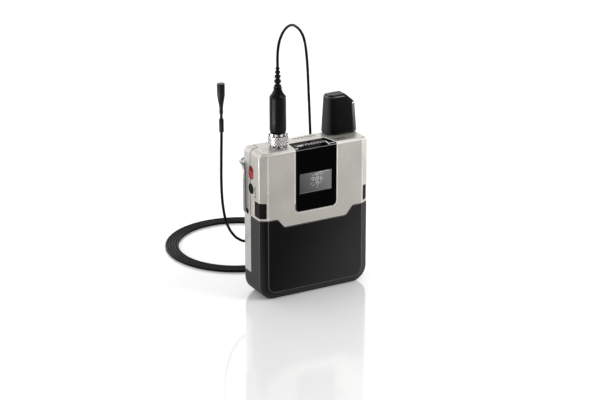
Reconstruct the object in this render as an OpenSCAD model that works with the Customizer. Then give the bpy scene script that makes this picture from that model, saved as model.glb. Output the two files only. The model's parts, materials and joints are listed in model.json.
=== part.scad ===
// Wireless pack transmitter with a clip-on miniature microphone.
// Millimetres. X is the width, the display faces -Y, Z is up.
// The origin is the middle of the flat underside of the battery block.

/* [Pack] */
// Width of the pack
pack_w = 71; // [70:0.5:72]
// Depth of the pack without its clip
pack_d = 20.7; // [20.5:0.1:21]
// Height of the pack without its aerial
pack_h = 90.1; // [89.9:0.1:90.2]
// Thickness of the shell walls
wall = 1.5; // [1.4:0.1:1.6]
// Radius of the lower corners
corner_r = 9.5; // [9:0.5:10]
// Radius of the upper corners
top_r = 3.5; // [3:0.5:4]
// Width of the bevel around the front face
bevel_w = 4.6; // [4.4:0.1:4.8]
// Depth of the bevel around the front face
bevel_d = 2.5; // [2.4:0.1:2.6]
// Small bevel along the top edge
top_edge = 1; // [0.8:0.1:1.2]
// Height of the joint between the silver shell and the battery
split_z = 49.4; // [49:0.1:50]
// Height of the silver tongue's lower edge
tongue_z = 44; // [43.5:0.1:44.5]
// Depth position of the seam between the front and rear shells
seam_y = 2.9; // [2.8:0.1:3]
// Gap between pieces that meet at a seam
gap = 0.2; // [0.15:0.01:0.22]

/* [Display] */
// Half width of the black window
window_half_w = 13.5; // [13:0.1:14]
// Height of the window's lower edge
window_z = 51.7; // [51.5:0.1:52]
// Width of the display glass
glass_w = 20.4; // [20:0.1:21]
// Height of the display glass
glass_h = 11.3; // [11:0.1:12]

/* [Controls] */
// Travel of each release button
release_travel = 1.2; // [1:0.1:1.3]
// Radius of the side key
key_r = 3; // [2.8:0.1:3.1]
// Height of the mute slider's thumb piece
mute_h = 5.4; // [5:0.1:5.6]

/* [Clip] */
// Diameter of the clip's wire
clip_wire_d = 1.9; // [1.8:0.05:1.95]
// Distance from the clip's tongue to the back of the pack
clip_reach = 6.2; // [6.1:0.1:6.3]

/* [Plug] */
// Radius of the coupling nut
nut_r = 5.9; // [5.8:0.1:6]
// Radius of the moulded plug body
barrel_r = 4.8; // [4.7:0.05:4.9]

/* [Cable and microphone] */
// Diameter of the cable
cable_d = 1.6; // [1.5:0.1:1.6]
// Radius of the microphone housing
mic_r = 2.25; // [2.2:0.05:2.4]

/* [Hidden] */
$fn = 64;
half_w = pack_w / 2;
half_d = pack_d / 2;
front_y = -half_d;
back_y = half_d;
window_x = 0.4;
glass_x = 0.1;
glass_z = 68.5;
battery_shoulder_z = 14.5;
cap_half_w = 30;
bay_y = 4.2;
hinge_y = 7.3;
hinge_z = 51.3;
plug_x = -19.7;
plug_y = -1.5;
jack_r = 1.75;
nut_z = 90.8;
barrel_z0 = 99.7;
barrel_z1 = 121.1;
boot_z0 = 125.2;
boot_z1 = 137.3;
mic_x = -48.2;
mic_y = 13;
mic_sleeve_z = 99.4;
coil_x = -6.7;
aerial_x = 25;
aerial_y = 5;
coil_y = 76.3;
coil_outer_r = 45.6;
coil_inner_r = 35.9;
side_control_y = 2.1;
key_z = 66.3;
mute_z = 76.1;
screw_x = 27;
button_back_x = 31.9;
screw_z = [22, 56, 81];
contact_x = [-9, -3, 3, 9];

silver = [0.76, 0.74, 0.71];
rear_silver = [0.68, 0.67, 0.65];
black = [0.1, 0.1, 0.1];
gloss_black = [0.03, 0.03, 0.03];
steel = [0.8, 0.8, 0.8];
gold = [0.85, 0.68, 0.3];
board_green = [0.1, 0.35, 0.2];

// The cable from the plug, over the arch and down behind the pack to the coil
arch_route = [
    [-19.7, -1.5, 137.3], [-19.7, -1.5, 142.3], [-19.2, -1.1, 147.3], [-17, 0.9, 152],
    [-12.7, 4.6, 155.4], [-7.7, 8.9, 156.6], [-2.1, 13.5, 155.8], [3.1, 17.4, 152.8],
    [7.6, 20.7, 148.6], [11.1, 23.3, 142.9], [13.3, 25, 135.4], [14.8, 26.1, 125.3],
    [15.7, 26.8, 115.3], [16.6, 27.4, 102.7], [18, 28.5, 83.5], [18.9, 29.2, 60],
    [19.4, 29.6, 40], [19.6, 29.8, 24], [19.8, 30.2, 13], [20.8, 32.1, 5.6],
    [23, 36.4, 1.6], [26.3, 42.8, 0.8], [29.3, 48.8, 0.8], [32.7, 55.1, 0.8]
];

// The cable from the coil, over its turns, under the clip's tongue and up to the microphone
riser_route = [
    [-16.2, 40.8, 0.9], [-11.9, 39.6, 1.7], [-6.9, 37.9, 2.45], [-1.7, 35.4, 2.5],
    [3.1, 32.2, 2.3], [7.3, 28.4, 1.2], [10.5, 24, 0.9], [12.5, 19.4, 2.6],
    [13.3, 16, 8], [13.1, 13.8, 17], [11.9, 12.4, 28], [9.7, 11.6, 38],
    [5.9, 11.4, 45], [-0.1, 11.4, 47.8], [-6.7, 11.4, 46.2], [-13.3, 11.7, 41.8],
    [-20.3, 12.2, 36.4], [-27.3, 12.7, 31.4], [-31.3, 12.9, 30], [-34.3, 13, 30.1],
    [-37.3, 13, 31.6], [-40.7, 13, 34.5], [-43.9, 13, 39.2], [-46.3, 13, 45.2],
    [-47.6, 13, 51.6], [-48.5, 13, 60], [-48.8, 13, 71], [-48.6, 13, 84],
    [-48.2, 13, 99.4]
];

// Half of the clip's wire, from the end of its pin to the middle of its tongue
clip_side_x = half_w + 1.3;
clip_tongue_y = back_y + clip_reach;
clip_path = [
    [clip_side_x, hinge_y, hinge_z], [clip_side_x, hinge_y, 55], [clip_side_x, 7.4, 65],
    [clip_side_x, 7.4, 75.5], [clip_side_x, 7.7, 77.6], [clip_side_x, 8.8, 79.2],
    [clip_side_x, 10.6, 79.6], [clip_side_x - 0.5, 12.9, 79.6], [clip_side_x - 1.8, 14.9, 79.6],
    [clip_side_x - 3.8, 16.1, 79.6], [clip_side_x - 6.2, clip_tongue_y, 79.6], [12, clip_tongue_y, 79.6],
    [9.8, clip_tongue_y, 78.8], [9, clip_tongue_y, 76.6], [9, clip_tongue_y, 60],
    [9, 15.6, 55.4], [9, 14, 50.4], [8.4, 14.1, 47.6], [6.2, 14.6, 45.6],
    [3.4, 14.8, 45], [0, 14.8, 45]
];

// ---- helpers ----

// Points of an outline whose corners [x, y, radius] are rounded by arcs
function unit(v) = v / norm(v);
function corner_arc(a, b, c, r, steps) =
    let (u = unit(a - b), v = unit(c - b), half = acos(u * v) / 2, turn = 180 - 2 * half)
    let (centre = b + unit(u + v) * r / sin(half), d = r / tan(half))
    let (from = b + u * d - centre, to = b + v * d - centre)
    [for (i = [0:steps])
        centre + (from * sin((1 - i / steps) * turn) + to * sin(i / steps * turn)) / sin(turn)];
function rounded(pts, steps = 6) = [
    for (i = [0:len(pts) - 1])
        let (n = len(pts), p = pts[i], a = pts[(i + n - 1) % n], c = pts[(i + 1) % n])
        for (q = p[2] == 0 ? [[p[0], p[1]]]
                : corner_arc([a[0], a[1]], [p[0], p[1]], [c[0], c[1]], p[2], steps)) q
];

// Rounded rectangle outline centred on the origin
function round_rect(w, h, r) = rounded([
    [-w / 2, -h / 2, r], [w / 2, -h / 2, r], [w / 2, h / 2, r], [-w / 2, h / 2, r]
]);

// A block between two corners
module block(low, high) {
    translate(low) cube(high - low);
}

// A rod along Y
module rod_y(x, y, z, r, length) {
    translate([x, y, z]) rotate([-90, 0, 0]) cylinder(r = r, h = length);
}

// A rod along X
module rod_x(x, y, z, r, length) {
    translate([x, y, z]) rotate([0, 90, 0]) cylinder(r = r, h = length);
}

// An outline in X and Z, extruded from y0 to y1
module slab_y(pts, y0, y1) {
    translate([0, y1, 0]) rotate([90, 0, 0]) linear_extrude(y1 - y0) polygon(pts);
}

// The other half of a path that is symmetric about the middle plane
function mirrored_path(path) = [for (i = [len(path) - 2:-1:0]) [-path[i][0], path[i][1], path[i][2]]];

// Points of a smooth curve through a route, with some steps between each pair
function blend_at(a, b, c, d, t) =
    0.5 * ((2 * b) + (c - a) * t + (2 * a - 5 * b + 4 * c - d) * t * t + (3 * b - a - 3 * c + d) * t * t * t);
function smooth(route, steps) = concat(
    [for (i = [0:len(route) - 2]) for (k = [0:steps - 1])
        blend_at(route[max(i - 1, 0)], route[i], route[i + 1], route[min(i + 2, len(route) - 1)], k / steps)],
    [route[len(route) - 1]]);
function tangents(p) = [for (i = [0:len(p) - 1]) unit(p[min(i + 1, len(p) - 1)] - p[max(i - 1, 0)])];
function carried(tan, i, side) = i == len(tan) ? []
    : let (s = unit(side - tan[i] * (side * tan[i]))) concat([s], carried(tan, i + 1, s));

// A flexible tube swept along a route
module tube(route, d, steps = 1, sides = 8) {
    path = smooth(route, steps);
    tan = tangents(path);
    side = carried(tan, 0, [0.3, 1, 0.1]);
    rings = len(path);
    points = [for (i = [0:rings - 1]) for (k = [0:sides - 1])
        path[i] + d / 2 * (side[i] * cos(360 * k / sides) + cross(tan[i], side[i]) * sin(360 * k / sides))];
    walls = [for (i = [0:rings - 2]) for (k = [0:sides - 1])
        [i * sides + k, (i + 1) * sides + k, (i + 1) * sides + (k + 1) % sides, i * sides + (k + 1) % sides]];
    caps = [[for (k = [0:sides - 1]) k], [for (k = [sides - 1:-1:0]) (rings - 1) * sides + k]];
    polyhedron(points, concat(walls, caps));
}

// ---- the pack's outer form ----

// Ends of the bevel on the front and on the side, from the outer edges, when all is moved in by t
function bevel_front(t) = bevel_w + t * (norm([bevel_w, bevel_d]) - bevel_w) / bevel_d;
function bevel_side(t) = bevel_d + t * (norm([bevel_w, bevel_d]) - bevel_d) / bevel_w;

// Cross-section in X and Y, moved in by t
module plan_outline(t) {
    polygon([
        [-half_w + t, back_y - t], [-half_w + t, front_y + bevel_side(t)],
        [-half_w + bevel_front(t), front_y + t], [half_w - bevel_front(t), front_y + t],
        [half_w - t, front_y + bevel_side(t)], [half_w - t, back_y - t]
    ]);
}

// The whole pack, moved in by t on every side
module pack_solid(t = 0) {
    r = corner_r - t;
    straight_x = half_w - corner_r;
    intersection() {
        union() {
            translate([0, 0, corner_r]) linear_extrude(pack_h - t - corner_r) plan_outline(t);
            rotate([90, 0, 90]) linear_extrude(2 * straight_x, center = true) polygon([
                [front_y + bevel_side(t), t], [back_y - t, t], [back_y - t, corner_r],
                [front_y + t, corner_r], [front_y + t, bevel_front(t)]
            ]);
            for (s = [-1, 1]) translate([s * straight_x, 0, corner_r]) rotate([-90, 0, 0])
                rotate_extrude($fn = 96) polygon([
                    [0, front_y + t], [corner_r - bevel_front(t), front_y + t], [r, front_y + bevel_side(t)],
                    [r, back_y - t], [0, back_y - t]
                ]);
        }
        translate([0, pack_d, 0]) rotate([90, 0, 0]) linear_extrude(2 * pack_d) {
            translate([-half_w, -1]) square([pack_w, pack_h - top_r + 1]);
            translate([-half_w + top_r, -1]) square([pack_w - 2 * top_r, pack_h + 1]);
            for (s = [-1, 1]) translate([s * (half_w - top_r), pack_h - top_r]) circle(top_r - t);
        }
    }
}

// The pack with its small bevel along the top edge
module pack_skin() {
    tilt = atan2(bevel_w, bevel_d);
    reach = (bevel_d * half_w + bevel_w * half_d - bevel_w * bevel_d) / norm([bevel_w, bevel_d]);
    difference() {
        pack_solid();
        for (e = [[0, half_w], [180, half_w], [-90, half_d], [90, half_d], [-tilt, reach], [180 + tilt, reach]])
            rotate([0, 0, e[0]]) translate([e[1], 0, pack_h]) rotate([0, 45, 0])
                cube([top_edge * sqrt(2), 2 * pack_w, top_edge * sqrt(2)], center = true);
    }
}

// Everything above the joint with the battery, raised by g
module above_split(g) {
    slab_y(rounded([
        [-40, split_z + g, 0], [-24.6, split_z + g, 2.5], [-20.4, tongue_z + g, 2.5],
        [20.4, tongue_z + g, 2.5], [24.6, split_z + g, 2.5], [40, split_z + g, 0], [40, 120, 0], [-40, 120, 0]
    ]), -40, 40);
}

// ---- pack ----

// The cut-out for the window, made larger by g
module window_zone(g) {
    w = window_half_w + g;
    translate([window_x, 0, 0]) {
        slab_y(rounded([[-w, window_z - g, 2.8], [w, window_z - g, 2.8], [w, 120, 0], [-w, 120, 0]]),
            front_y - 1, front_y + wall);
        translate([0, 0, pack_h - wall]) linear_extrude(wall + 1) polygon([
            [-w, front_y - 1], [w, front_y - 1], [w, front_y + 0.6],
            [w - 2.4, 0.4 + g], [-w + 0.9, 0.4 + g], [-w, front_y + 0.6]
        ]);
    }
}

// The cut-outs in the side walls for the mute slider and the key
module side_cutouts() {
    translate([-half_w - 1, side_control_y, mute_z]) rotate([0, 90, 0])
        linear_extrude(wall + 2) polygon(round_rect(8.2, 6.1, 2.8));
    rod_x(-half_w - 1, side_control_y, key_z, key_r + 0.15, wall + 2);
}

// Holes at the rear for the shell's screws
module screw_wells() {
    for (s = [-1, 1]) for (z = screw_z) {
        rod_y(s * screw_x, back_y - 1.3, z, 2.15, 2);
        rod_y(s * screw_x, back_y - 4, z, 1.1, 4);
    }
}

module front_shell() {
    color(silver) difference() {
        union() {
            difference() {
                intersection() {
                    pack_skin();
                    above_split(gap);
                    union() {
                        block([-40, -40, 0], [40, seam_y - gap / 2, 120]);
                        block([-cap_half_w, -40, pack_h - wall], [cap_half_w, 40, 120]);
                    }
                }
                pack_solid(wall);
            }
            for (s = [-1, 1]) for (z = [screw_z[1], screw_z[2]])
                rod_y(s * screw_x, front_y + wall - 0.1, z, 2.2, seam_y - 0.2 - front_y - wall);
        }
        window_zone(gap);
        side_cutouts();
        for (s = [-1, 1]) {
            block([s > 0 ? 29.5 : -40, -9.75, 50.8], [s > 0 ? 40 : -29.5, -1.7, 60.2]);
            block([s > 0 ? 31.65 : -40, -12, 50.8], [s > 0 ? 40 : -31.65, -9, 60.2]);
            for (z = [screw_z[1], screw_z[2]]) rod_y(s * screw_x, -3, z, 1, 8);
        }
        translate([plug_x, plug_y, 80]) cylinder(r = 3.6, h = 20);
        translate([aerial_x, aerial_y, 80]) cylinder(r = 2.6, h = 20);
    }
}

module rear_shell() {
    color(rear_silver) difference() {
        union() {
            difference() {
                intersection() {
                    pack_skin();
                    block([-40, seam_y + gap / 2, battery_shoulder_z + gap / 2], [40, 40, 120]);
                }
                pack_solid(wall);
                block([-cap_half_w - gap, 0, pack_h - wall - gap / 2], [cap_half_w + gap, 40, 120]);
            }
            for (s = [-1, 1]) {
                for (z = [screw_z[1], screw_z[2]])
                    rod_y(s * screw_x, seam_y + 0.1, z, 2.2, back_y - wall - seam_y);
                block([s > 0 ? 31.5 : -half_w + 0.6, hinge_y - 2.5, hinge_z - 2.5],
                    [s > 0 ? half_w - 0.6 : -31.5, back_y - 0.6, hinge_z + 2.5]);
            }
        }
        side_cutouts();
        screw_wells();
        for (s = [-1, 1]) {
            for (z = [screw_z[1], screw_z[2]]) rod_y(s * screw_x, seam_y - 1, z, 1.1, 8);
            rod_x(s > 0 ? 32.6 : -37, hinge_y, hinge_z, clip_wire_d / 2 + 0.05, 4.4);
            rod_x(s > 0 ? half_w - 0.8 : -half_w - 1, hinge_y, hinge_z, 1.35, 1.8);
        }
    }
}

module display_window() {
    color(gloss_black) difference() {
        intersection() {
            pack_skin();
            window_zone(0);
        }
        pack_solid(wall - 0.2);
        block([glass_x - glass_w / 2 - 0.05, front_y - 1, glass_z - glass_h / 2 - 0.05],
            [glass_x + glass_w / 2 + 0.05, 0, glass_z + glass_h / 2 + 0.05]);
        translate([window_x - 11.3, 0, pack_h]) rotate([90, 0, 90]) linear_extrude(20.3) polygon([
            [-4.4, 1], [-4.4, -0.5], [-6.7, -0.5], [front_y - 1, -1.2], [front_y - 1, 1]
        ]);
    }
}

module display_glass() {
    color([0.4, 0.4, 0.42])
        block([glass_x - glass_w / 2, front_y + 0.06, glass_z - glass_h / 2],
            [glass_x + glass_w / 2, front_y + 1.2, glass_z + glass_h / 2]);
}

module backlight() {
    color("white")
        block([window_x - 12.5, front_y + wall, 60], [window_x + 12.5, front_y + wall + 2.2, 77]);
}

// Row of indicator windows in the scoop on top
module light_bar() {
    color([0.75, 0.76, 0.78]) {
        for (i = [0:6])
            translate([window_x - 4.1 + 1.9 * i, -5.6, pack_h - 0.5]) linear_extrude(0.25)
                polygon(round_rect(1, 0.9, 0.3));
        translate([window_x - 8, -5.6, pack_h - 0.5]) linear_extrude(0.25) polygon(round_rect(4.2, 1, 0.4));
    }
}

module status_leds() {
    color("white") for (i = [0:4]) translate([window_x - 8 + 4 * i, -5.6, pack_h - wall])
        block([0, 0, -1.2], [1.6, 1.4, -0.4]);
}

module main_board() {
    color(board_green) block([-24.4, 5, 17], [24.4, 6, 84]);
}

module rf_shield() {
    color(steel) difference() {
        block([-12, 2.2, 56], [16, 5, 82]);
        block([-11.7, 2.5, 56.3], [15.7, 6, 81.7]);
    }
}

module bay_frame() {
    color(black) difference() {
        union() {
            block([-33.6, seam_y + 0.2, 16.2], [33.6, bay_y, 50.9]);
            block([-28, -8.2, 49.8], [28, seam_y + 0.2, 50.9]);
            for (s = [-1, 1]) rod_y(s * screw_x, bay_y - 0.1, screw_z[0], 2.2, back_y - wall - bay_y);
        }
        for (s = [-1, 1]) rod_y(s * screw_x, 3.4, screw_z[0], 1, 8);
        for (x = contact_x) translate([x, -4, 49]) cylinder(r = 0.85, h = 3);
    }
}

module contact_pins() {
    color(gold) for (x = contact_x) translate([x, -4, 0]) {
        translate([0, 0, 49.6]) cylinder(r = 0.5, h = 1);
        translate([0, 0, 49.85]) cylinder(r = 0.8, h = 3.6);
    }
}

module jack_socket() {
    color(steel) translate([plug_x, plug_y, 0]) difference() {
        union() {
            translate([0, 0, 74]) cylinder(r = 4.2, h = 10.8);
            translate([0, 0, 84.8]) cylinder(r = 3.4, h = pack_h - 84.7);
            translate([0, 0, pack_h]) cylinder(r = 5.3, h = 0.5);
            translate([0, 0, pack_h]) cylinder(r = 3.2, h = 94 - pack_h);
        }
        translate([0, 0, 76]) cylinder(r = jack_r + 0.05, h = 30);
    }
}

module socket_nut() {
    color(steel) translate([plug_x, plug_y, 86]) difference() {
        cylinder(r = 5.4, h = 2, $fn = 6);
        translate([0, 0, -1]) cylinder(r = 3.45, h = 4);
    }
}

// Outline of the aerial's foot, bowed at the front, whose corners shrink with its width
function aerial_outline(left, right, near, far) =
    let (k = (right - left) / 19.7)
    rounded([
        [left, far, 1.2 * k], [left + 0.1 * k, near + 2.6 * k, 1.4 * k], [left + 4.6 * k, near, 5 * k],
        [right - 3.6 * k, near, 4 * k], [right, near + 2.4 * k, 1.6 * k], [right, far, 1.2 * k]
    ], 4);

module antenna_seal() {
    color(black) translate([0, 0, pack_h]) linear_extrude(0.4) difference() {
        polygon(aerial_outline(15, 33.6, 0, 9.8));
        translate([aerial_x, aerial_y]) circle(2.6);
    }
}

// Tapered solid of the aerial's cover, moved in by t
module aerial_form(t) {
    hull() {
        translate([0, 0, pack_h + 0.4 - (t > 0 ? 1 : 0)]) linear_extrude(0.8)
            polygon(aerial_outline(14.6 + t, 34 - t, -0.5 + t, 10.2 - t));
        translate([0, 0, 108 - t]) linear_extrude(0.1)
            polygon(aerial_outline(14.9 + t, 33 - t, 0.3 + t, 8.8 - t));
        translate([0, 0, 112.9 - t]) linear_extrude(0.1)
            polygon(aerial_outline(15.1 + t, 27.3 - t, 0.7 + t, 8.3 - t));
        translate([0, 0, 114.2 - t]) linear_extrude(0.1)
            polygon(aerial_outline(16 + t, 25.6 - t, 1.8 + t, 7.5 - t));
    }
}

module antenna_cap() {
    color(black) difference() {
        aerial_form(0);
        aerial_form(1.3);
    }
}

module antenna_element() {
    color(gold) translate([aerial_x, aerial_y, 0]) {
        translate([0, 0, 84.6]) cylinder(r = 2.5, h = 6.8);
        block([-2.3, -0.8, 90.8], [0, 0, 91.8]);
        translate([-2.3, -0.4, 91.4]) {
            cylinder(r = 0.6, h = 18);
            for (i = [0:6]) translate([0, 0, 2.1 + 2.1 * i]) {
                rotate_extrude() translate([1.9, 0]) circle(0.5, $fn = 24);
                block([0, -0.3, -0.2], [1.9, 0.3, 0.2]);
            }
        }
    }
}

module mute_switch() {
    color(black) block([-32.9, side_control_y - 2, 71], [-30.2, side_control_y + 2, 81.4]);
}

module mute_slider() {
    color([0.76, 0.2, 0.24]) {
        translate([-33.5, side_control_y, mute_z - 1.3]) rotate([0, -90, 0]) linear_extrude(1.8)
            polygon(round_rect(mute_h, 5.7, 2.6));
        block([-33.9, side_control_y - 3.7, mute_z - 6.1], [-33.1, side_control_y + 3.7, mute_z + 5.2]);
    }
}

module side_key() {
    color(black) {
        rod_x(-half_w - 0.1, side_control_y, key_z, key_r, 1.7);
        rod_x(-33.9, side_control_y, key_z, key_r + 0.4, 0.6);
    }
}

module key_switch() {
    color(steel) {
        block([-32, side_control_y - 2, key_z - 2], [-30.2, side_control_y + 2, key_z + 2]);
        rod_x(-32.5, side_control_y, key_z, 1.2, 0.6);
    }
}

// The left release button; the right one is its mirror image
module release_button() {
    color([0.18, 0.15, 0.16]) {
        intersection() {
            difference() {
                pack_solid(0.3);
                pack_solid(2.4);
            }
            block([-40, -12, 51], [-31.85, -1.85, 60]);
        }
        block([-33.6, -4.2, 51.4], [-button_back_x, -0.7, 59.6]);
        block([-32.9, -6, 48.2], [-button_back_x, -3, 51.4]);
    }
}
module release_left() release_button();
module release_right() mirror([1, 0, 0]) release_button();

// Two leaf springs with a nub each, which stops a release button at the end of its travel
module release_springs() {
    color(steel) for (s = [0, 1]) mirror([s, 0, 0]) {
        block([29.3, -6.5, 52.5], [29.6, -1.5, 58.5]);
        block([29.5, -4.5, 54.8], [button_back_x - release_travel - 0.1, -4.1, 56.2]);
    }
}

module screws(rows, depth) {
    color([0.25, 0.25, 0.26]) for (s = [-1, 1]) for (z = rows) difference() {
        union() {
            rod_y(s * screw_x, back_y - 1.25, z, 2, 1.05);
            rod_y(s * screw_x, back_y - 1.25 - depth, z, 1, depth + 0.1);
        }
        block([s * screw_x - 1.1, back_y - 0.7, z - 0.2], [s * screw_x + 1.1, back_y, z + 0.2]);
        block([s * screw_x - 0.2, back_y - 0.7, z - 1.1], [s * screw_x + 0.2, back_y, z + 1.1]);
    }
}
module shell_screws() screws([screw_z[1], screw_z[2]], 9.5);
module frame_screws() screws([screw_z[0]], 5);

module belt_clip() {
    color(steel) {
        for (s = [0, 1]) mirror([s, 0, 0]) {
            rod_x(33, hinge_y, hinge_z, clip_wire_d / 2, clip_side_x - 33);
            rod_x(clip_side_x - 0.9, hinge_y, hinge_z, clip_wire_d / 2 + 0.05, 1.8);
        }
        tube(concat(clip_path, mirrored_path(clip_path)), clip_wire_d, 1, 10);
    }
}

// ---- battery ----

// Everything the battery fills: the front bay and the whole underside
module battery_zone() {
    block([-40, -40, -1], [40, 40, battery_shoulder_z]);
    block([-40, -40, -1], [40, seam_y - gap / 2, split_z]);
}

module battery_case() {
    color(black) difference() {
        intersection() {
            pack_skin();
            battery_zone();
        }
        difference() {
            above_split(0);
            block([-40, front_y + wall + 0.1, 0], [40, 40, 120]);
        }
        intersection() {
            pack_solid(wall);
            union() {
                block([-40, -40, 0], [40, 40, battery_shoulder_z - wall]);
                block([-40, -40, 0], [40, 1.4, 48]);
            }
            block([-40, -7.3, 0], [40, 40, 48]);
        }
        intersection() {
            pack_solid(wall);
            block([-40, -40, 0], [40, 1.4, 42.4]);
        }
        block([-33.2, 0, 16.2], [33.2, 10, 46]);
        for (s = [-1, 1]) block([s > 0 ? 30.6 : -33.75, -6.3, 46], [s > 0 ? 33.75 : -30.6, -2.7, 60]);
        for (x = contact_x) translate([x, -4, 47]) cylinder(r = 1.4, h = 4);
        for (s = [-1, 1]) rod_x(s > 0 ? half_w - 0.9 : -half_w - 1, 4.5, 9.5, 1.1, 1.9);
    }
}

module battery_lid() {
    color([0.14, 0.14, 0.15]) block([-33.1, 1.5, 16.3], [33.1, seam_y - gap / 2, 45.9]);
}

module battery_cell() {
    color([0.55, 0.6, 0.65]) translate([0, 1.3, 24]) rotate([90, 0, 0])
        linear_extrude(8.4) polygon(round_rect(58, 34, 3));
}

module battery_board() {
    color(board_green) block([-24, -6.9, 43.6], [24, 1.2, 44.6]);
}

module battery_pads() {
    color(gold) for (x = contact_x) translate([x, -4, 44.6]) cylinder(r = 1.2, h = 3.4);
}

module charge_contacts() {
    color(gold) for (s = [-1, 1]) rod_x(s > 0 ? half_w - 0.9 : -half_w + 0.5, 4.5, 9.5, 1, 0.4);
}

// ---- plug ----

module coupling_nut() {
    color(steel) translate([plug_x, plug_y, 0]) difference() {
        rotate_extrude($fn = 72) polygon([
            [3.3, nut_z], [5.2, nut_z], [5.5, 91.1], [5.5, 92], [5.3, 92.2], [nut_r - 0.1, 92.5],
            [nut_r - 0.1, 97.5], [5.4, 97.7], [nut_r, 97.9], [nut_r, 99], [5.5, 99.4], [2.68, 99.4],
            [2.68, 95.4], [3.3, 95.4]
        ]);
        for (i = [0:11]) rotate(30 * i) block([nut_r - 0.6, -0.7, 97.8], [nut_r + 1, 0.7, 99.7]);
    }
}

module plug_ferrule() {
    color(steel) translate([plug_x, plug_y, 0]) difference() {
        union() {
            translate([0, 0, 94.2]) cylinder(r = 3.2, h = 1);
            translate([0, 0, 94.2]) cylinder(r = 2.6, h = barrel_z0 - 94.2);
        }
        translate([0, 0, 90]) cylinder(r = jack_r, h = 10);
    }
}

module plug_pin() {
    color(steel) translate([plug_x, plug_y, 0]) rotate_extrude() polygon([
        [0, 76.6], [0.8, 76.9], [jack_r, 78.4], [jack_r, 79.4], [1.35, 79.9], [jack_r, 80.6],
        [jack_r, barrel_z0], [0, barrel_z0]
    ]);
}

module plug_body() {
    color(black) translate([plug_x, plug_y, 0]) rotate_extrude($fn = 72) polygon(rounded([
        [0, barrel_z0, 0], [barrel_r, barrel_z0, 1], [barrel_r, barrel_z1, 2],
        [2.1, boot_z0, 0.6], [0, boot_z0, 0]
    ]));
}

// The ribbed strain relief: rings that shrink towards the cable
module plug_boot() {
    rings = [[0.2, 2.1], [3.1, 1.95], [6.1, 1.7], [8.9, 1.45], [11.1, 1.25]];
    color(black) translate([plug_x, plug_y, 0]) rotate_extrude() union() {
        translate([0, boot_z0]) square([1.2, boot_z1 - boot_z0]);
        for (g = rings)
            translate([0, boot_z0 + g[0] - (g[0] > 1 ? 0.9 : 0)]) square([g[1], g[0] > 11 ? 1.5 : 1.9]);
    }
}

// ---- cable and microphone ----

module cable_arch() {
    color(black) tube(arch_route, cable_d, 2);
}

// The outer form of the coil of flat turns
module cable_coil() {
    color(black) translate([coil_x, coil_y, 0]) rotate_extrude($fn = 128)
        translate([coil_inner_r, 0]) square([coil_outer_r - coil_inner_r, cable_d]);
}

module cable_riser() {
    color(black) tube(riser_route, cable_d, 1);
}

// Revolves an outline of radius and height about the microphone's axis
module mic_turned(pts) {
    translate([mic_x, mic_y, 0]) rotate_extrude() polygon(pts);
}

module mic_sleeve() {
    color(black) mic_turned([
        [0, mic_sleeve_z], [1.2, mic_sleeve_z], [1.4, 100], [1.4, 107], [1.1, 107.6], [0.9, 107.6],
        [0.85, 110.2], [1.1, 110.4], [1.1, 113], [0, 113]
    ]);
}

module mic_housing() {
    color(black) mic_turned([
        [0, 113], [1.05, 113], [1.3, 115.5], [1.9, 118.4], [mic_r - 0.05, 120.8], [mic_r, 122.5],
        [mic_r, 127], [1.3, 127], [1.3, 121], [0, 121]
    ]);
}

module mic_grille() {
    color(black) mic_turned([
        [0, 127.2], [0.9, 127.2], [0.9, 127], [mic_r, 127], [mic_r, 128.2], [0, 128.2]
    ]);
}

module mic_element() {
    color(steel) mic_turned([[0, 121.2], [1.25, 121.2], [1.25, 126.6], [0, 126.6]]);
}

front_shell();
rear_shell();
display_window();
display_glass();
backlight();
light_bar();
status_leds();
main_board();
rf_shield();
bay_frame();
contact_pins();
jack_socket();
socket_nut();
antenna_seal();
antenna_cap();
antenna_element();
mute_switch();
mute_slider();
side_key();
key_switch();
release_left();
release_right();
release_springs();
shell_screws();
frame_screws();
belt_clip();
battery_case();
battery_lid();
battery_cell();
battery_board();
battery_pads();
charge_contacts();
coupling_nut();
plug_ferrule();
plug_pin();
plug_body();
plug_boot();
cable_arch();
cable_coil();
cable_riser();
mic_sleeve();
mic_housing();
mic_grille();
mic_element();
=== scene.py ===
"""Wireless lavalier microphone: transmitter, locking plug, coiled cable and miniature microphone."""
import json
import math

import bmesh
import bpy
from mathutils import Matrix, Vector


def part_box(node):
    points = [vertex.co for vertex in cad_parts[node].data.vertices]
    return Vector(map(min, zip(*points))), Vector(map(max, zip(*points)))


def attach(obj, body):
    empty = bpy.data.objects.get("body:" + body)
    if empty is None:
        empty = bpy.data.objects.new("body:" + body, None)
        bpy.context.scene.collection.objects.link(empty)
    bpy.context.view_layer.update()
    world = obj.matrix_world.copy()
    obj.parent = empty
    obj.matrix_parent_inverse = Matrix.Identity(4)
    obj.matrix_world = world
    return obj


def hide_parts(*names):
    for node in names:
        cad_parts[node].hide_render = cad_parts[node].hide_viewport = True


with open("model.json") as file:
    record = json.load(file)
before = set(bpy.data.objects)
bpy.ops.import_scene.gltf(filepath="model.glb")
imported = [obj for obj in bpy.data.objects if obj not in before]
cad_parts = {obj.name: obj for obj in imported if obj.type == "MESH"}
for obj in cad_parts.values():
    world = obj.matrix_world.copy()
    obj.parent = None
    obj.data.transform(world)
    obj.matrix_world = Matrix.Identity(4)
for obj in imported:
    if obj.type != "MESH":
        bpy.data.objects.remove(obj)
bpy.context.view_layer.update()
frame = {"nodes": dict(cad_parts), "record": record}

MM = 0.001
scene = bpy.context.scene
scene.view_settings.view_transform = "Standard"
nodes = frame["nodes"]
HALF_W = -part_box("rear_shell")[0].x / MM
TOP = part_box("front_shell")[1].z / MM


# ---- camera ----

AZIMUTH = math.radians(-29.0)
ELEVATION = math.radians(20.86)
DISTANCE = 1.2054
TARGET = Vector((0, 0, 0.0475))

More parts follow.
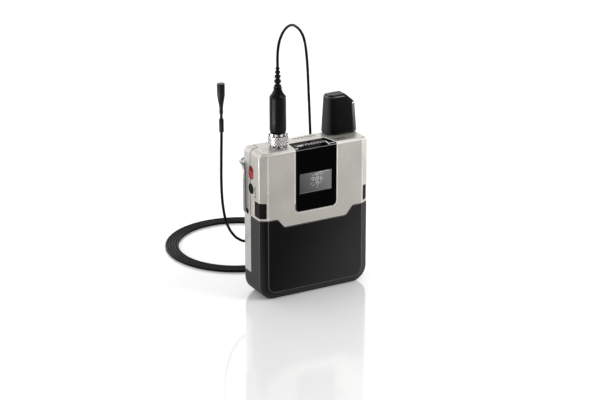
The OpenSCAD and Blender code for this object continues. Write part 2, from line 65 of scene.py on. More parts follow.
back = Vector((math.sin(AZIMUTH) * math.cos(ELEVATION),
               -math.cos(AZIMUTH) * math.cos(ELEVATION), math.sin(ELEVATION)))
camera = bpy.data.objects.new("camera", bpy.data.cameras.new("camera"))
scene.collection.objects.link(camera)
camera.location = TARGET + back * DISTANCE
camera.rotation_mode = "QUATERNION"
camera.rotation_quaternion = (-back).to_track_quat("-Z", "Y")
camera.data.sensor_width = 36
camera.data.lens = 124.36
camera.data.shift_x = -0.01161
camera.data.shift_y = 0.01664
camera.data.clip_start = 0.05
camera.data.clip_end = 30
scene.camera = camera


# ---- helpers ----

def link(obj):
    """Puts a new object into the scene."""
    scene.collection.objects.link(obj)
    return obj


def blend_at(a, b, c, d, t):
    """Point at t, from 0 to 1, on the smooth curve between b and c."""
    return 0.5 * (2 * b + (c - a) * t + (2 * a - 5 * b + 4 * c - d) * t ** 2
                  + (3 * b - a - 3 * c + d) * t ** 3)


def smooth(route, steps):
    """Points of a smooth curve through a route in millimetres, with steps between its points."""
    pts = [Vector(p) * MM for p in route]
    last = len(pts) - 1
    out = []
    for i in range(last):
        around = (pts[max(i - 1, 0)], pts[i], pts[i + 1], pts[min(i + 2, last)])
        out += [blend_at(*around, k / steps) for k in range(steps)]
    return out + [pts[last]]


def wire(name, points, radius, resolution):
    """A round wire along points, as a curve of one spline; resolution makes its section rounder."""
    curve = bpy.data.curves.new(name, "CURVE")
    curve.dimensions = "3D"
    curve.bevel_depth = radius
    curve.bevel_resolution = resolution
    curve.use_fill_caps = True
    spline = curve.splines.new("POLY")
    spline.points.add(len(points) - 1)
    for p, q in zip(spline.points, points):
        p.co = (*q, 1)
    spline.use_smooth = True
    return link(bpy.data.objects.new(name, curve))


def block(low, high):
    """The eight corners of a block between two corners."""
    return [(x, y, z) for x in (low[0], high[0]) for y in (low[1], high[1])
            for z in (low[2], high[2])]


def hulls(name, groups):
    """One mesh of convex pieces, each given by its corners in millimetres."""
    bm = bmesh.new()
    for corners in groups:
        verts = [bm.verts.new(Vector(c) * MM) for c in corners]
        bmesh.ops.convex_hull(bm, input=verts)
    bmesh.ops.dissolve_limit(bm, angle_limit=math.radians(1), verts=bm.verts, edges=bm.edges)
    mesh = bpy.data.meshes.new(name)
    bm.to_mesh(mesh)
    bm.free()
    return link(bpy.data.objects.new(name, mesh))


# ---- the cable ----

CABLE_D = 1.6 * MM
ARCH_ROUTE = [
    (-19.7, -1.5, 137.3), (-19.7, -1.5, 142.3), (-19.2, -1.1, 147.3), (-17, 0.9, 152),
    (-12.7, 4.6, 155.4), (-7.7, 8.9, 156.6), (-2.1, 13.5, 155.8), (3.1, 17.4, 152.8),
    (7.6, 20.7, 148.6), (11.1, 23.3, 142.9), (13.3, 25, 135.4), (14.8, 26.1, 125.3),
    (15.7, 26.8, 115.3), (16.6, 27.4, 102.7), (18, 28.5, 83.5), (18.9, 29.2, 60),
    (19.4, 29.6, 40), (19.6, 29.8, 24), (19.8, 30.2, 13), (20.8, 32.1, 5.6),
    (23, 36.4, 1.6), (26.3, 42.8, 0.8), (29.3, 48.8, 0.8), (32.7, 55.1, 0.8),
]
RISER_ROUTE = [
    (-16.2, 40.8, 0.9), (-11.9, 39.6, 1.7), (-6.9, 37.9, 2.45), (-1.7, 35.4, 2.5),
    (3.1, 32.2, 2.3), (7.3, 28.4, 1.2), (10.5, 24, 0.9), (12.5, 19.4, 2.6),
    (13.3, 16, 8), (13.1, 13.8, 17), (11.9, 12.4, 28), (9.7, 11.6, 38),
    (5.9, 11.4, 45), (-0.1, 11.4, 47.8), (-6.7, 11.4, 46.2), (-13.3, 11.7, 41.8),
    (-20.3, 12.2, 36.4), (-27.3, 12.7, 31.4), (-31.3, 12.9, 30), (-34.3, 13, 30.1),
    (-37.3, 13, 31.6), (-40.7, 13, 34.5), (-43.9, 13, 39.2), (-46.3, 13, 45.2),
    (-47.6, 13, 51.6), (-48.5, 13, 60), (-48.8, 13, 71), (-48.6, 13, 84),
    (-48.2, 13, 99.4),
]
INSIDE_PLUG = 14 * MM
COIL_CENTRE = Vector((-6.7, 76.3, 0.8)) * MM
COIL_OUTER = 44.7 * MM
COIL_PITCH = 1.65 * MM
COIL_START = math.radians(-28.3)
COIL_END = math.radians(255)
COIL_TURNS = 4
POINTS_PER_TURN = 72


def coil_points():
    """The flat coil's turns, from the outside to the inside."""
    sweep = COIL_END - COIL_START + 2 * math.pi * COIL_TURNS
    count = round(sweep / (2 * math.pi) * POINTS_PER_TURN)
    out = []
    for i in range(1, count):
        turned = sweep * i / count
        r = COIL_OUTER - COIL_PITCH * turned / (2 * math.pi)
        a = COIL_START + turned
        out.append(COIL_CENTRE + Vector((r * math.cos(a), r * math.sin(a), 0)))
    return out


plug_axis = Vector(ARCH_ROUTE[0]) * MM
cable_start = plug_axis - Vector((0, 0, INSIDE_PLUG))
cable_points = [cable_start] + smooth(ARCH_ROUTE, 6) + coil_points() + smooth(RISER_ROUTE, 6)
cable = wire("microphone_cable", cable_points, CABLE_D / 2, 4)


# ---- materials ----

NOISE_RANGE = (0.3, 0.7)
NOISE_DETAIL = 3.0
BLOTCH_SIZE = 14 * MM


def add(tree, kind, **values):
    """A new node with some of its inputs or settings given."""
    node = tree.nodes.new(kind)
    for name, value in values.items():
        if name in node.inputs:
            node.inputs[name].default_value = value
        else:
            setattr(node, name, value)
    return node


def noise(tree, size, stretch=(1, 1, 1)):
    """Noise in the object's own space; its features are size metres wide, times the stretch."""
    place = add(tree, "ShaderNodeTexCoord").outputs["Object"]
    scaled = add(tree, "ShaderNodeVectorMath", operation="MULTIPLY")
    tree.links.new(place, scaled.inputs[0])
    scaled.inputs[1].default_value = [1 / (size * s) for s in stretch]
    texture = add(tree, "ShaderNodeTexNoise", Scale=1.0, Detail=NOISE_DETAIL)
    tree.links.new(scaled.outputs[0], texture.inputs["Vector"])
    return texture.outputs["Fac"]


def remap(tree, value, numbers, **settings):
    """A value moved from one range to another; numbers are from min, from max, to min, to max."""
    node = add(tree, "ShaderNodeMapRange", **settings)
    tree.links.new(value, node.inputs["Value"])
    for name, number in zip(("From Min", "From Max", "To Min", "To Max"), numbers):
        node.inputs[name].default_value = number
    return node.outputs["Result"]


def spread(tree, value, low, high):
    """A noise value mapped from its usual range to low and high."""
    return remap(tree, value, (*NOISE_RANGE, low, high))


def faded(tree, tone, direction, start, end, low, high):
    """The tone times a factor that runs from low to high along a direction.

    The direction is any vector, not a unit one, and start and end are a point's product with it,
    in millimetres.
    """
    along = add(tree, "ShaderNodeVectorMath", operation="DOT_PRODUCT")
    tree.links.new(add(tree, "ShaderNodeTexCoord").outputs["Object"], along.inputs[0])
    along.inputs[1].default_value = direction
    factor = remap(tree, along.outputs["Value"], (start * MM, end * MM, low, high),
                   interpolation_type="SMOOTHSTEP")
    product = add(tree, "ShaderNodeMath", operation="MULTIPLY")
    tree.links.new(tone, product.inputs[0])
    tree.links.new(factor, product.inputs[1])
    return product


def material(name, colour, roughness, metallic=0.0, specular=0.5, grain=0.25, contrast=0.06,
             blotch=0.05, polish=0.05, relief=0.004, stretch=(1, 1, 1), fade=None):
    """A procedural surface: a fine grain and broad blotches vary its colour and its roughness.

    grain is the grain's size and relief its depth, both in millimetres. contrast and blotch say
    how much the two vary the colour, and polish how much they vary the roughness. stretch makes
    the grain longer along X, Y or Z. fade holds what faded() takes after the tone, for a surface
    that darkens to one end.
    """
    mat = bpy.data.materials.new(name)
    mat.use_nodes = True
    tree = mat.node_tree
    shader = tree.nodes["Principled BSDF"]
    shader.inputs["Metallic"].default_value = metallic
    shader.inputs["Specular IOR Level"].default_value = specular
    fine = noise(tree, grain * MM, stretch=stretch)
    broad = noise(tree, BLOTCH_SIZE)
    tone = add(tree, "ShaderNodeMath", operation="MULTIPLY")
    tree.links.new(spread(tree, fine, 1 - contrast, 1 + contrast), tone.inputs[0])
    tree.links.new(spread(tree, broad, 1 - blotch, 1 + blotch), tone.inputs[1])
    if fade:
        tone = faded(tree, tone.outputs[0], *fade)
    tint = add(tree, "ShaderNodeVectorMath", operation="SCALE")
    tint.inputs[0].default_value = colour
    tree.links.new(tone.outputs[0], tint.inputs["Scale"])
    tree.links.new(tint.outputs[0], shader.inputs["Base Color"])
    rough = add(tree, "ShaderNodeMath", operation="ADD")
    tree.links.new(spread(tree, fine, -polish / 2, polish / 2), rough.inputs[0])
    tree.links.new(spread(tree, broad, roughness - polish, roughness + polish), rough.inputs[1])
    tree.links.new(rough.outputs[0], shader.inputs["Roughness"])
    bump = add(tree, "ShaderNodeBump", Strength=1.0, Distance=relief * MM)
    tree.links.new(fine, bump.inputs["Height"])
    tree.links.new(bump.outputs[0], shader.inputs["Normal"])
    return mat


def grey(level, warmth=0.0):
    """A grey, a little warmer or, below 0, a little cooler."""
    return (level * (1 + warmth), level, level * (1 - warmth))


MATERIALS = {
    "silver_shell": material("silver_shell", (0.39, 0.372, 0.34), 0.4, metallic=0.5, grain=0.3,
                             contrast=0.1, blotch=0.08, relief=0.008),
    "rear_silver": material("rear_silver", (0.42, 0.41, 0.395), 0.42, metallic=0.5, grain=0.3,
                            contrast=0.07, relief=0.006),
    "window_black": material("window_black", grey(0.0015), 0.1, specular=0.005, polish=0.02,
                             grain=1.5, contrast=0.3, relief=0.0004),
    "display_grey": material("display_grey", grey(0.15), 0.35, specular=0.1, grain=0.4, contrast=0.15,
                             fade=((1, 0, 0.7), 34, 60, 0.4, 1.05)),
    "white_plastic": material("white_plastic", grey(0.8, 0.01), 0.45, grain=0.4),
    "indicator": material("indicator", grey(0.25, -0.02), 0.25, grain=0.5, relief=0.001),
    "board": material("board", (0.01, 0.09, 0.03), 0.35, grain=0.8, contrast=0.3, blotch=0.2),
    "steel": material("steel", grey(0.55), 0.32, metallic=1.0, grain=0.2, stretch=(1, 8, 1)),
    "gold": material("gold", (0.8, 0.56, 0.22), 0.25, metallic=1.0, grain=0.3),
    # Painted light: the black plastic is nine times lighter left of X = 14.9 mm, so the aerial's left
    # side looks lit
    "black_plastic": material("black_plastic", grey(0.004), 0.36, specular=0.04, grain=0.35,
                              contrast=0.12, relief=0.006, fade=((-1, 0, 0), -17, -14.9, 1, 9)),
    "black_rubber": material("black_rubber", grey(0.004), 0.6, specular=0.06, grain=0.3,
                             contrast=0.15, relief=0.01),
    "red_plastic": material("red_plastic", (0.25, 0.012, 0.02), 0.35, specular=0.2, grain=0.35),
    "button_brown": material("button_brown", (0.008, 0.006, 0.0062), 0.42, specular=0.05, grain=0.3,
                             contrast=0.12, relief=0.006),
    "dark_steel": material("dark_steel", grey(0.09), 0.38, metallic=1.0, grain=0.2),
    "bright_wire": material("bright_wire", grey(0.21), 0.22, metallic=1.0, grain=0.5,
                            contrast=0.04, relief=0.001),
    # Painted reflection: the battery's fade makes its front dark at the top left and lighter towards
    # the bottom right
    "battery_black": material("battery_black", grey(0.018), 0.4, specular=0.06, grain=0.28,
                              contrast=0.15, relief=0.008, fade=((1, 25, -0.7), -312, -215, 0.12, 1.7)),
    "cell_wrap": material("cell_wrap", (0.1, 0.17, 0.26), 0.3, grain=0.6),
    "bright_nickel": material("bright_nickel", grey(0.62, 0.015), 0.2, metallic=1.0, grain=0.4,
                              contrast=0.05, relief=0.001),
    "plug_black": material("plug_black", grey(0.002), 0.24, specular=0.1, grain=0.3,
                           contrast=0.12, relief=0.006),
    "cable_black": material("cable_black", grey(0.004), 0.45, specular=0.05, grain=0.2,
                            contrast=0.15, relief=0.005),
    "mic_black": material("mic_black", grey(0.006), 0.3, specular=0.12, grain=0.2,
                          contrast=0.1, relief=0.003),
}
# Glossier, lighter copies for rounded edges: the extra gloss is a material setting, the lighter colour
# a painted highlight
EDGE_HIGHLIGHTS = {
    "silver_shell": material("silver_edge_highlight", (0.56, 0.54, 0.51), 0.3, metallic=0.3, grain=0.3),
    "window_black": material("window_edge_highlight", grey(0.1), 0.2, specular=1.0, grain=0.3),
    "battery_black": material("battery_edge_highlight", grey(0.03), 0.3, specular=0.5, grain=0.3),
    "black_plastic": material("aerial_edge_highlight", grey(0.03), 0.3, specular=0.5, grain=0.3),
}
PRINT = material("print_grey", grey(0.008, 0.05), 0.5, grain=0.12, contrast=0.5, relief=0.002)
# Colour of painted highlights on the window's scoop and of the cover on its indicator
HIGHLIGHT_AND_INDICATOR = material("highlight_and_indicator_white", grey(0.75, 0.03), 0.5, grain=0.15, contrast=0.2, relief=0.002)
# Colour of a painted highlight round the window
RIM_HIGHLIGHT = material("rim_highlight", (0.9, 0.88, 0.84), 0.3, metallic=0.2, grain=0.3)
# Grey of the display's dots, also of a painted highlight on its glass
DOT_AND_HIGHLIGHT_GREY = material("dot_and_highlight_grey", grey(0.62, 0.02), 0.5, grain=0.3, contrast=0.3, relief=0)


def finish(piece, body, slot, *stands_for, mat=None):
    """Gives a piece its material, its body, the CAD nodes that it stands for and its slot."""
    piece.data.materials.clear()
    piece.data.materials.append(mat or MATERIALS[slot])
    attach(piece, body)
    if stands_for:
        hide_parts(*stands_for)
    return piece


slot_of = {part["node"]: part["material_slot"] for part in frame["record"]["subparts"]}
body_of = {node: body for body, members in frame["record"]["behaviour"]["bodies"].items()
           for node in members}
for node, obj in nodes.items():
    if not obj.material_slots:
        obj.data.materials.append(None)
    for place in obj.material_slots:
        place.material = MATERIALS[slot_of[node]]
finish(cable, "pack", "cable_black", "cable_arch", "cable_coil", "cable_riser")


# ---- shells with softened edges ----

MERGE_DISTANCE = 0.002 * MM
FLAT_ANGLE = math.radians(0.6)
EDGE_ANGLE = math.radians(26)


def refined(node, width, segments):
    """A copy of a CAD node with clean faces and rounded edges, width millimetres wide.

    Materials with an entry in the edge table get a lighter copy on the rounded edges: a painted
    highlight.
    """
    mesh = nodes[node].data.copy()
    bm = bmesh.new()
    bm.from_mesh(mesh)
    bmesh.ops.remove_doubles(bm, verts=bm.verts, dist=MERGE_DISTANCE)
    bmesh.ops.dissolve_limit(bm, angle_limit=FLAT_ANGLE, verts=bm.verts, edges=bm.edges)
    for face in bm.faces:
        face.smooth = True
    bm.to_mesh(mesh)
    bm.free()
    if mesh.attributes.get("custom_normal"):
        mesh.attributes.remove(mesh.attributes["custom_normal"])
    piece = link(bpy.data.objects.new(node + "_skin", mesh))
    edges = piece.modifiers.new("soft_edges", "BEVEL")
    edges.width = width * MM
    edges.segments = segments
    edges.limit_method = "ANGLE"
    edges.angle_limit = EDGE_ANGLE
    edges.use_clamp_overlap = False
    edges.harden_normals = True
    finish(piece, body_of[node], slot_of[node], node)
    if slot_of[node] in EDGE_HIGHLIGHTS:
        piece.data.materials.append(EDGE_HIGHLIGHTS[slot_of[node]])
        edges.material = 1


SOFT_EDGES = (
    ("front_shell", 0.38, 3), ("rear_shell", 0.25, 3), ("display_window", 0.22, 2),
    ("battery_case", 0.3, 3), ("release_left", 0.3, 3), ("release_right", 0.3, 3),
    ("mute_slider", 0.35, 3), ("side_key", 0.4, 3), ("antenna_cap", 0.45, 3),
    ("jack_socket", 0.15, 2),
)
for node, width, segments in SOFT_EDGES:
    refined(node, width, segments)


# ---- turned and knurled pieces ----

SHARP_ANGLE = math.radians(35)


def turned(name, axis, profile, steps=96, shape=None):
    """A body of revolution about a vertical axis; profile lists (radius, height) in millimetres.

    shape(radius, height, turn) may move a point's radius, where turn is its angle in radians.
    """
    bm = bmesh.new()
    rings = []
    for r, z in profile:
        ring = []
        for k in range(steps):
            turn = 2 * math.pi * k / steps
            reach = (shape(r, z, turn) if shape else r) * MM
            ring.append(bm.verts.new((axis.x + reach * math.cos(turn),
                                      axis.y + reach * math.sin(turn), z * MM)))
        rings.append(ring)
    for low, high in zip(rings, rings[1:]):
        for k in range(steps):
            bm.faces.new((low[k], low[(k + 1) % steps], high[(k + 1) % steps], high[k]))
    bm.faces.new(reversed(rings[0]))
    bm.faces.new(rings[-1])
    bmesh.ops.recalc_face_normals(bm, faces=bm.faces)
    for face in bm.faces:
        face.smooth = True
    mesh = bpy.data.meshes.new(name)
    bm.to_mesh(mesh)
    bm.free()
    mesh.set_sharp_from_angle(angle=SHARP_ANGLE)
    return link(bpy.data.objects.new(name, mesh))


def arc(centre, radius, start, end, steps):
    """Points of an arc in a plane, between two angles in degrees."""
    angles = [math.radians(start + (end - start) * k / steps) for k in range(steps + 1)]
    return [(centre[0] + radius * math.cos(a), centre[1] + radius * math.sin(a)) for a in angles]


def climb(r, low, high, steps):
    """Points of a straight wall of radius r from low to high."""
    return [(r, low + (high - low) * k / steps) for k in range(steps + 1)]


# The nut's band of diamonds, and the notches in its two rims
jack = Vector((plug_axis.x, plug_axis.y, 0))
NUT_R = 5.9
KNURLS = 22
KNURL_DEPTH = 0.5
KNURL_LOW, KNURL_HIGH = 92.55, 97.45
KNURL_SLANT = 0.8
KNURL_SHARPNESS = 2.4
NOTCHES = 12
NOTCH_BANDS = (
    # from height, to height, outside radius, depth
    (97.9, 99.05, 5.5, 0.8),
    (90.95, 91.8, 5.4, 0.45),
)


def tooth(phase):
    """A ridge once per whole phase, from 0 in the groove to 1 on the crest."""
    return 1 - abs(2 * (phase % 1) - 1)


def knurled(r, z, turn):
    """Radius of the nut's wall, with diamonds on its band and notches in its two rims."""
    part_turn = turn / (2 * math.pi)
    if KNURL_LOW < z < KNURL_HIGH:
        around = part_turn * KNURLS
        lift = (z - KNURL_LOW) / (2 * math.pi * NUT_R / KNURLS) * KNURL_SLANT
        ridge = KNURL_SHARPNESS * min(tooth(around + lift), tooth(around - lift))
        return r - KNURL_DEPTH * (1 - min(1, ridge))
    if (part_turn * NOTCHES) % 1 < 0.5:
        for low, high, outside, depth in NOTCH_BANDS:
            if low < z < high and r > outside:
                return r - depth
    return r


# The nut: its lower rim, the knurled band and the upper rim
nut_profile = ([(3.3, 90.8)] + arc((5.2, 91.1), 0.3, -90, 0, 3)
               + [(5.5, 91.75), (5.35, 91.95), (5, 92.05), (5, 92.25), (5.75, 92.45)]
               + climb(5.88, 92.52, 97.48, 50)
               + [(5.75, 97.55), (5.35, 97.6), (5.35, 97.75), (5.7, 97.85), (5.88, 97.94),
                  (5.88, 99), (5.72, 99.15), (5.3, 99.38), (3.2, 99.38)])
nut = turned("coupling_nut_knurled", jack, nut_profile, 528, knurled)
finish(nut, "coupling_nut", "bright_nickel", "coupling_nut")

# Painted shade: a dark core that shows only in the bottoms of the nut's grooves and notches
core_profile = [(3.4, 90.95), (5.2, 91), (5.2, 91.9), (5.1, 92.4), (5.56, 92.6), (5.56, 97.4),
                (5.4, 97.7), (5.5, 97.95), (5.5, 99.05), (3.4, 99.1)]
finish(turned("coupling_nut_groove_shade", jack, core_profile), "coupling_nut", "dark_steel")

# The plug's body: a straight grip with a fine line round it, and a shoulder under the boot
body_profile = ([(0.2, 99.7)] + arc((4.3, 100.2), 0.5, -90, 0, 4)
                + [(4.8, 107.4), (4.72, 107.45), (4.72, 107.6), (4.8, 107.65), (4.78, 119.5)]
                + arc((3.5, 119.9), 1.28, 0, 52, 6) + [(3.1, 122.55)]
                + arc((2.75, 124.6), 0.62, 160, 90, 4) + [(0.2, 125.2)])
finish(turned("plug_body_moulded", jack, body_profile), "pack", "plug_black", "plug_body")

# The boot's rings, each with the height of its middle, its radius and half its height
BOOT_RINGS = [(126.2, 2.12, 0.85), (129.2, 1.98, 0.8), (132, 1.75, 0.75), (134.5, 1.5, 0.65)]
boot_profile = [(0.3, 125)]
for height, reach, half in BOOT_RINGS:
    core = reach - 0.72
    boot_profile += [(core, height - half - 0.35), (reach - 0.2, height - half)]
    boot_profile += [(reach, height - half + 0.2), (reach, height + half - 0.2)]
    boot_profile += [(reach - 0.2, height + half), (core, height + half + 0.35)]
boot_profile += [(0.95, 136.1), (1.2, 136.4), (1.2, 137.1), (1.05, 137.3), (0.3, 137.3)]
finish(turned("plug_boot_ribbed", jack, boot_profile, 64), "pack", "plug_black", "plug_boot")


# The microphone: the cable's sleeve, the housing and the cap with its sound slots
MIC_AXIS = Vector((-48.2, 13, 0)) * MM
GRILLE_SLOTS = 8
SLOT_LOW, SLOT_HIGH = 127.35, 127.8


def slotted(r, z, turn):
    """Radius of the microphone's cap, with a ring of sound slots near its top."""
    in_slot = (turn / (2 * math.pi) * GRILLE_SLOTS) % 1 < 0.55
    if in_slot and SLOT_LOW < z < SLOT_HIGH and r > 2:
        return r - 0.3
    return r


sleeve_profile = [(0.6, 99.4), (1.05, 99.4), (1.3, 99.7), (1.36, 100.2), (1.36, 106.7),
                  (1.25, 107.2), (1.05, 107.5), (0.86, 107.62), (0.82, 108.6), (0.82, 110),
                  (0.9, 110.3), (1.08, 110.5), (1.1, 111.4), (1.1, 112.6), (1, 113), (0.5, 113)]
finish(turned("mic_sleeve_turned", MIC_AXIS, sleeve_profile, 48), "pack", "mic_black", "mic_sleeve")
housing_profile = [(0.6, 113), (1.02, 113), (1.08, 114), (1.2, 115.2), (1.42, 116.6), (1.68, 118),
                   (1.93, 119.4), (2.1, 120.6), (2.2, 121.7), (2.25, 122.8), (2.25, 126.9),
                   (1.4, 126.9)]
finish(turned("mic_housing_turned", MIC_AXIS, housing_profile, 64), "pack", "mic_black",
       "mic_housing")
grille_profile = [(0.9, 126.95), (2.2, 126.95), (2.27, 127.05), (2.27, 127.33), (2.26, 127.37),
                  (2.26, 127.78), (2.27, 127.82), (2.27, 128), (2.12, 128.18), (1.75, 128.2),
                  (1.7, 128.05), (1.2, 128.05), (1.15, 128.18), (0.3, 128.2)]
finish(turned("mic_grille_slotted", MIC_AXIS, grille_profile, 96, slotted), "pack", "mic_black",
       "mic_grille")


# ---- belt clip ----

CLIP_D = 1.9 * MM
# Half of the wire: the pin in the shell, the leg, the bend over the back and half of the tongue
CLIP_HALF = [
    (33.2, 7.3, 51.3), (34.8, 7.3, 51.3), (36, 7.3, 51.4), (36.6, 7.3, 52), (36.8, 7.3, 53.2),
    (36.8, 7.35, 58), (36.8, 7.4, 65), (36.8, 7.4, 75.5), (36.8, 7.7, 77.6), (36.8, 8.8, 79.2),
    (36.8, 10.6, 79.6), (36.3, 12.9, 79.6), (35, 14.9, 79.6), (33, 16.1, 79.6), (30.6, 16.55, 79.6),
    (12, 16.55, 79.6), (9.8, 16.55, 78.8), (9, 16.55, 76.6), (9, 16.55, 60), (9, 15.6, 55.4),
    (9, 14, 50.4), (8.4, 14.1, 47.6), (6.2, 14.6, 45.6), (3.4, 14.8, 45), (0, 14.8, 45),
]
clip_route = CLIP_HALF + [(-x, y, z) for x, y, z in reversed(CLIP_HALF[:-1])]
clip = wire("belt_clip_wire", smooth(clip_route, 6), CLIP_D / 2, 6)
finish(clip, "belt_clip", "bright_wire", "belt_clip")


# ---- painted shade in seams and holes, prints, display and painted highlights ----

SEAM_R = 0.3
SEAM_INSET = 0.22
SEAM_Y = 2.9
CORNER_R = 3.5
CORNER_START = TOP - CORNER_R
STEP_X, STEP_Y = 30.1, 9.4


def seam_shade(name, heights, side):
    """Painted shade: a dark strip in the seam between the shells, in stretches between pairs of
    heights.

    A stretch that reaches the corner goes on over it, and ends with the seam's step on the top.
    """
    x = side * (HALF_W - SEAM_INSET)
    top = TOP - SEAM_INSET
    for k, (low, high) in enumerate(heights):
        points = [(x, SEAM_Y, low), (x, SEAM_Y, high)]
        if high >= CORNER_START - 0.01:
            bend = CORNER_R - SEAM_INSET
            for turn in range(0, 91, 10):
                across = HALF_W - CORNER_R + bend * math.cos(math.radians(turn))
                up = CORNER_START + bend * math.sin(math.radians(turn))
                points.append((side * across, SEAM_Y, up))
            points += [(side * STEP_X, SEAM_Y, top), (side * STEP_X, STEP_Y, top)]
        shade_strip = wire(f"{name}_{k}", [Vector(p) * MM for p in points], SEAM_R * MM, 2)
        finish(shade_strip, "pack", "black_rubber")


seam_shade("seam_shade_left", [(50, 63), (69.6, 71.9), (80.3, 86.6)], -1)
seam_shade("seam_shade_right", [(50, 86.6)], 1)

# Painted shade: dark discs round the holes in which the clip's pins turn
BUSH_Y, BUSH_Z = 6.6, 51.3
for side_name, side in (("left", -1), ("right", 1)):
    ends = [Vector((side * x, BUSH_Y, BUSH_Z)) * MM for x in (34.9, 35.54)]
    finish(wire(f"clip_hole_shade_{side_name}", ends, 1.6 * MM, 6), "pack", "black_rubber")

PRINT_BELOW = 0.03
PRINT_ABOVE = 0.015


def dashes(start, end, y, depth, widths):
    """Flat marks of the given widths in a row along X on the pack's top, from start to end."""
    gap = (end - start - sum(widths)) / (len(widths) - 1)
    out = []
    for width in widths:
        out.append(block((start, y - depth / 2, TOP - PRINT_BELOW),
                         (start + width, y + depth / 2, TOP + PRINT_ABOVE)))
        start += width + gap
    return out


TOP_ROWS = (
    # from X, to X, Y, depth, widths
    (-6.2, 9, 6.4, 1.3, (1.3, 0.9, 1.1, 0.8, 1.4, 1, 0.9, 1.2, 0.9, 1.1)),
    (-5.6, 8.2, 4.9, 0.6, (0.7, 1.2, 0.8, 1, 0.7, 1.1, 0.8)),
    (14.6, 21.8, -5.2, 1.2, (1.2, 0.9, 1.3, 0.9, 1.1)),
    (15, 21.4, -6.7, 0.7, (0.8, 1.2, 0.7, 1)),
    (-30.4, -27, -1.4, 0.7, (0.7, 0.6, 0.8)),
    (-30.8, -26.6, -4.2, 0.7, (0.6, 0.9, 0.6)),
)
top_marks = [mark for row in TOP_ROWS for mark in dashes(*row)]
finish(hulls("printed_marks_top", top_marks), "pack", "black_plastic", mat=PRINT)

SIDE_MARKS = (
    # Y, Z, height
    (-3, 68.4, 1.1), (-2.8, 66.9, 1.3), (-3.1, 65.2, 1.3), (-3.6, 63.6, 1.1), (-2.6, 62.5, 0.8),
)
side_marks = [block((-HALF_W - PRINT_ABOVE, y - 0.6, z - height / 2),
                    (-HALF_W + PRINT_BELOW, y + 0.6, z + height / 2))
              for y, z, height in SIDE_MARKS]
finish(hulls("printed_marks_side", side_marks), "pack", "black_plastic", mat=PRINT)

# The display's marks: dots of no meaning, dense in the middle and thin round it, and one painted
# highlight along the glass's top edge
GLASS_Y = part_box("display_glass")[0].y / MM
DOT_PITCH = 0.62
DOT_HALF = 0.19
DOT_RISE = 0.02


def dot_chance(x, z):
    """How many of every five dots show at a place on the display."""
    near = math.hypot((x - 1.1) / 3.9, (z - 70.6) / 4.4)
    if near < 0.8:
        return 3
    return 1 if near < 1.3 else 0


dots = []
for row in range(16):
    for column in range(31):
        x = -9.2 + DOT_PITCH * column
        z = 73.6 - DOT_PITCH * row
        if (7 * column + 11 * row + column * row) % 5 < dot_chance(x, z):
            dots.append(block((x - DOT_HALF, GLASS_Y - DOT_RISE, z - DOT_HALF),
                              (x + DOT_HALF, GLASS_Y + DOT_RISE, z + DOT_HALF)))
# Painted highlight: a thin light line along the top edge of the glass
dots.append(block((2, GLASS_Y - DOT_RISE, 73.8), (8.4, GLASS_Y + DOT_RISE, 74.02)))
finish(hulls("display_dots_and_highlight", dots), "pack", "display_grey", mat=DOT_AND_HIGHLIGHT_GREY)

# A painted highlight: a bright line along the window's rim, up its right side, round the scoop on top
# and down its left side
WINDOW_LEFT, WINDOW_RIGHT = -13.4, 14.2
RIM_Y = -10.1
RIM_TOP = 89.88
RIM_CORNER = (11.3, 54.3)
RIM_CORNER_R = 2.85
rim_points = [(x, RIM_Y, z) for x, z in arc(RIM_CORNER, RIM_CORNER_R, -70, 0, 7)]
rim_points += [(WINDOW_RIGHT, RIM_Y, 88.9), (WINDOW_RIGHT, -9.3, RIM_TOP), (11.8, 0.65, RIM_TOP),
               (-12.4, 0.65, RIM_TOP), (WINDOW_LEFT, -9.3, RIM_TOP), (WINDOW_LEFT, RIM_Y, 88.9),
               (WINDOW_LEFT, RIM_Y, 57)]
rim = wire("window_rim_highlight", [Vector(p) * MM for p in rim_points], 0.24 * MM, 4)
finish(rim, "pack", "silver_shell", mat=RIM_HIGHLIGHT)

# Painted highlights: light lines on the scoop's right edge and two short front edges, and a light cover
# on an indicator
glints = [
    [(9.15, -5.4, 89.61), (9.38, -5.4, 89.61), (9.38, -5.4, 89.95), (9.15, -9.7, 89.18),
     (9.38, -9.7, 89.18), (9.38, -9.7, 89.7)],
    block((-12.9, -9.7, 89.85), (-11.1, -9.35, 90.1)),
    block((9.6, -9.6, 89.85), (13, -9.4, 90.08)),
    block((-9.4, -6, 89.84), (-5.8, -5.2, 89.88)),
]
finish(hulls("window_glints", glints), "pack", "window_black", mat=HIGHLIGHT_AND_INDICATOR)


# ---- floor and light ----

def lamp(name, place, aim, size, power):
    """A soft rectangular light at place that looks at aim, all in metres."""
    data = bpy.data.lights.new(name, "AREA")
    data.shape = "RECTANGLE"
    data.size, data.size_y = size
    data.energy = power
    obj = link(bpy.data.objects.new(name, data))
    obj.location = place
    obj.rotation_mode = "QUATERNION"
    obj.rotation_quaternion = (Vector(aim) - Vector(place)).to_track_quat("-Z", "Y")
    return obj


FLOOR_HALF = 6.0
floor = link(bpy.data.objects.new("floor", bpy.data.meshes.new("floor")))
bm = bmesh.new()
bmesh.ops.create_grid(bm, x_segments=1, y_segments=1, size=FLOOR_HALF)
bm.to_mesh(floor.data)
bm.free()
floor.data.materials.append(material("floor_white", grey(0.76), 0.1, grain=40, contrast=0.01,
                                     blotch=0.0, polish=0.01, relief=0))

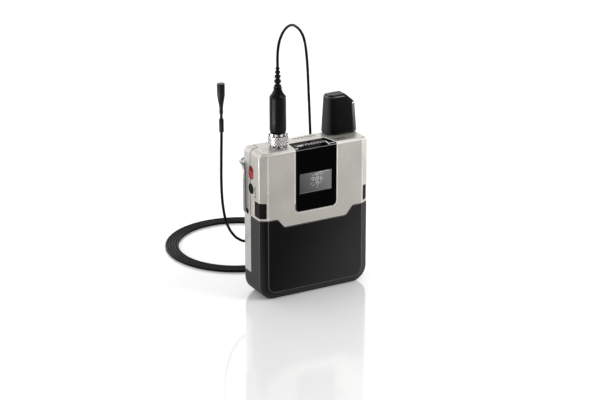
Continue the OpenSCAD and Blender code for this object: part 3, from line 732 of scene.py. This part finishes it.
world = bpy.data.worlds.new("studio")
scene.world = world
world.use_nodes = True
sky = world.node_tree
backdrop = sky.nodes["Background"]
backdrop.inputs["Color"].default_value = (1, 1, 1, 1)
direction = add(sky, "ShaderNodeSeparateXYZ")
sky.links.new(add(sky, "ShaderNodeTexCoord").outputs["Generated"], direction.inputs[0])


def ramp(value, numbers):
    """A smooth change of a value in the sky from one range to another, with remap's numbers."""
    return remap(sky, value, numbers, interpolation_type="SMOOTHSTEP")


# Low round the pack the sky runs from dim to bright along a diagonal, and straight above it is even
diagonal = add(sky, "ShaderNodeMath", operation="MULTIPLY_ADD")
sky.links.new(direction.outputs["X"], diagonal.inputs[0])
diagonal.inputs[1].default_value = -0.45
sky.links.new(direction.outputs["Y"], diagonal.inputs[2])
wall = add(sky, "ShaderNodeMath", operation="MULTIPLY")
sky.links.new(ramp(diagonal.outputs[0], (-0.6, 0.7, 0.2, 2.4)), wall.inputs[0])
sky.links.new(ramp(direction.outputs["Z"], (0.4, 0.75, 1, 0)), wall.inputs[1])
dome = add(sky, "ShaderNodeMath", operation="ADD")
sky.links.new(wall.outputs[0], dome.inputs[0])
sky.links.new(ramp(direction.outputs["Z"], (0.35, 0.75, 0, 0.7)), dome.inputs[1])
sky.links.new(dome.outputs[0], backdrop.inputs["Strength"])

lamp("key", (0.5, -0.4, 0.95), (0, 0, 0.06), (0.5, 0.5), 2.7)
lamp("left", (-0.95, -0.25, 0.33), (0, 0, 0.05), (0.35, 0.35), 1.7)
lamp("right", (0.24, -0.26, 0.16), (0.03, 0, 0.06), (0.14, 0.14), 0.62).visible_camera = False
# Two low lamps light the upright edges, and leave the floor alone
accents = [
    lamp("low_left", (-0.31, -0.02, 0.004), (-0.31, -0.02, 1), (0.1, 0.25), 1.15),
    lamp("low_right", (0.42, 0.02, 0.04), (0.03, 0, 0.06), (0.1, 0.1), 1.0),
]
unlit = bpy.data.collections.new("unlit_by_accents")
unlit.objects.link(floor)
unlit.collection_objects[0].light_linking.link_state = "EXCLUDE"
for accent in accents:
    accent.visible_camera = False
    accent.light_linking.receiver_collection = unlit
